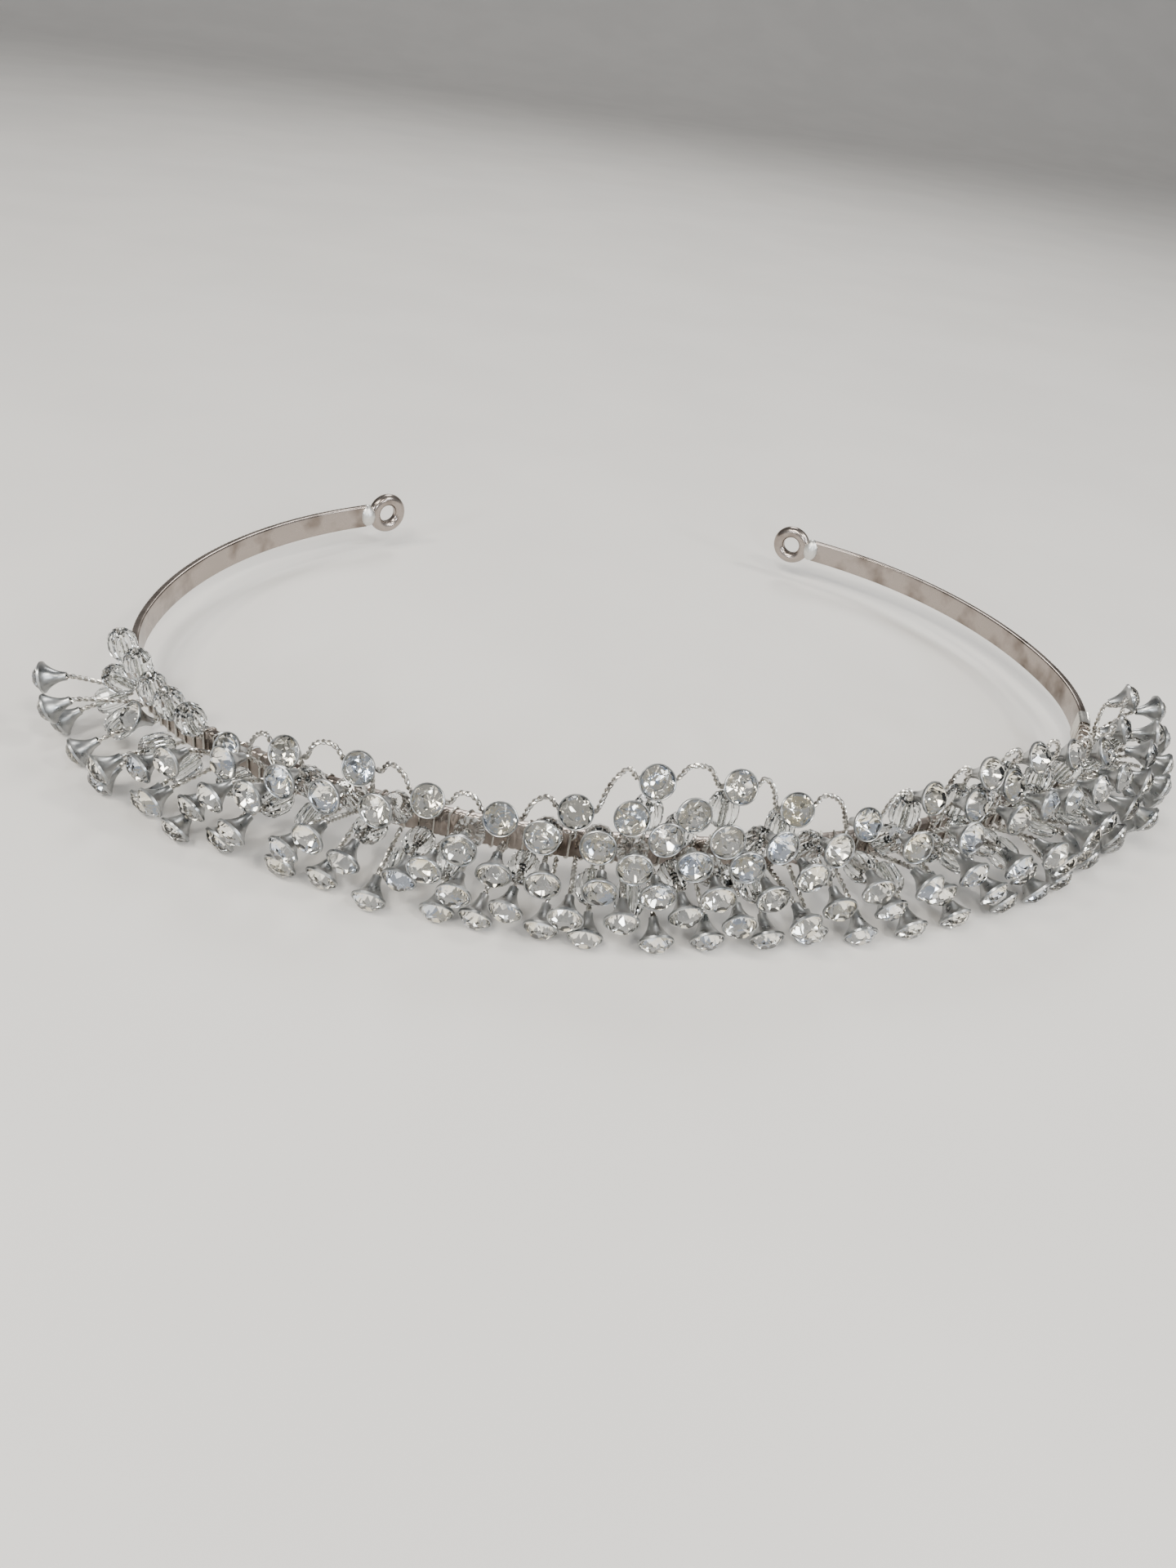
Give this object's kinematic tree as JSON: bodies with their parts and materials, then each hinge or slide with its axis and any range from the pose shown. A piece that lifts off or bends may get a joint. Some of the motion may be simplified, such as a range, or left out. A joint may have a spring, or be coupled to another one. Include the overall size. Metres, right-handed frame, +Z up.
{
  "type": "bridal tiara",
  "caption": "Springy horseshoe headband whose front half is wired all over with stemmed cups, glass beads and foil-backed stones.",
  "frame": {"origin": "centre of the footprint, on the surface that the hem of the cluster rests on", "axes": "+X the wearer's width, -Y the front of the tiara, +Z up"},
  "size_m": [0.1682, 0.121, 0.0227],
  "materials": {
    "silver_plate": "silver-plated brass strip, bright, lightly tarnished",
    "solder": "soft solder, dull and lumpy",
    "silvered_wire": "silvered copper wire, twisted in pairs",
    "cup_plate": "pressed and plated sheet cup, grey, satin",
    "rhinestone": "cut glass stone with foiled back",
    "fluted_glass": "clear pressed glass bead with flutes"
  },
  "bodies": {
    "front": {"front_band": "silver_plate", "binding_wire": "silvered_wire", "garland_wire": "silvered_wire", "garland_stems": "silvered_wire", "crest_stems": "silvered_wire", "upper_stems": "silvered_wire", "middle_stems": "silvered_wire", "lower_stems": "silvered_wire", "apron_stems": "silvered_wire", "hem_stems": "silvered_wire", "garland_cups": "cup_plate", "crest_cups": "cup_plate", "upper_cups": "cup_plate", "middle_cups": "cup_plate", "lower_cups": "cup_plate", "apron_cups": "cup_plate", "hem_cups": "cup_plate", "garland_stones": "rhinestone", "crest_stones": "rhinestone", "upper_stones": "rhinestone", "middle_stones": "rhinestone", "lower_stones": "rhinestone", "apron_stones": "rhinestone", "hem_stones": "rhinestone", "garland_beads": "fluted_glass", "crest_beads": "fluted_glass", "upper_beads": "fluted_glass", "middle_beads": "fluted_glass", "lower_beads": "fluted_glass", "apron_beads": "fluted_glass", "hem_beads": "fluted_glass", "filler_stems": "silvered_wire", "filler_beads": "fluted_glass"},
    "left_arm": {"left_arm": "silver_plate", "left_end_ring": "silver_plate", "left_solder": "solder"},
    "right_arm": {"right_arm": "silver_plate", "right_end_ring": "silver_plate", "right_solder": "solder"}
  },
  "joints": [
    {"name": "left_flex", "type": "hinge", "parent": "front", "child": "left_arm", "pos_m": [-0.07379, -0.0055, 0.00701], "axis": [0, 0, 1], "range_deg": [-3, 8], "stiffness_Nm_per_rad": 1.2},
    {"name": "right_flex", "type": "hinge", "parent": "front", "child": "right_arm", "pos_m": [0.07379, -0.0055, 0.00701], "axis": [0, 0, -1], "range_deg": [-3, 8], "stiffness_Nm_per_rad": 1.2}
  ]
}
